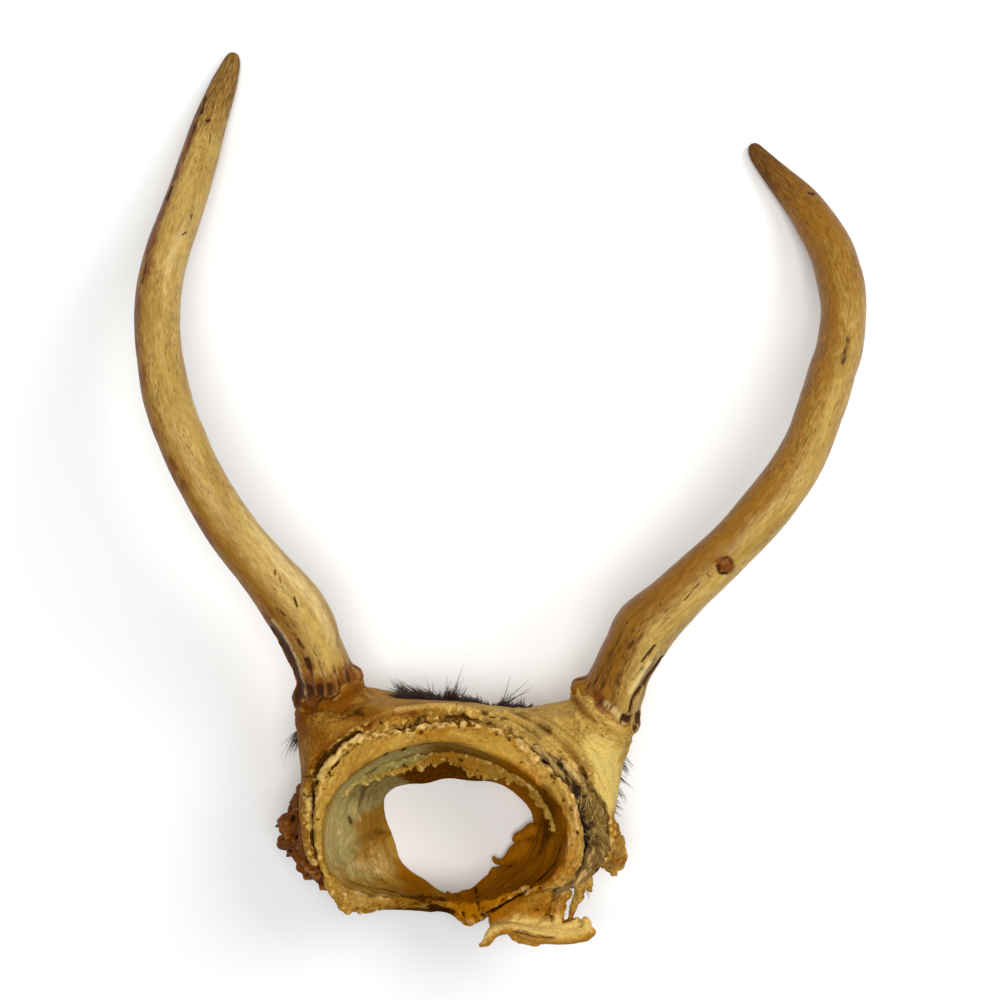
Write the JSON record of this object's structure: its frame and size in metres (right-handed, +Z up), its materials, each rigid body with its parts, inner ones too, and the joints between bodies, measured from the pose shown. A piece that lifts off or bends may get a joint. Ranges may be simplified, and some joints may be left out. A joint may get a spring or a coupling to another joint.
{
  "type": "deer antler",
  "caption": "Bony spike antlers on a sawn ring of deer skull, with dried scalp, muscle and dark forehead hair, lying on its front cut.",
  "frame": {"origin": "on the floor under the centre of the whole object", "axes": "+Y from the braincase towards the antler tips, +Z up out of the rear saw cut (the rear of the head), +X to the object's right as seen from above"},
  "size_m": [0.2051, 0.2551, 0.0586],
  "materials": {
    "antler": "satin",
    "bone": "satin",
    "hide": "matte",
    "flesh": "matte",
    "fibre": "matte",
    "lining": "satin",
    "hair": "matte"
  },
  "bodies": {
    "root": {"skull_ring": "bone", "temporal_bone": "bone", "antler_left": "antler", "antler_right": "antler", "scalp_hide": "hide", "temple_muscle": "flesh", "jaw_muscle": "fibre", "ear_base": "fibre", "brain_lining": "lining", "sinew_outer": "fibre", "sinew_inner": "fibre", "forehead_hair": "hair", "flank_hair_left": "hair", "flank_hair_right": "hair"}
  },
  "joints": []
}
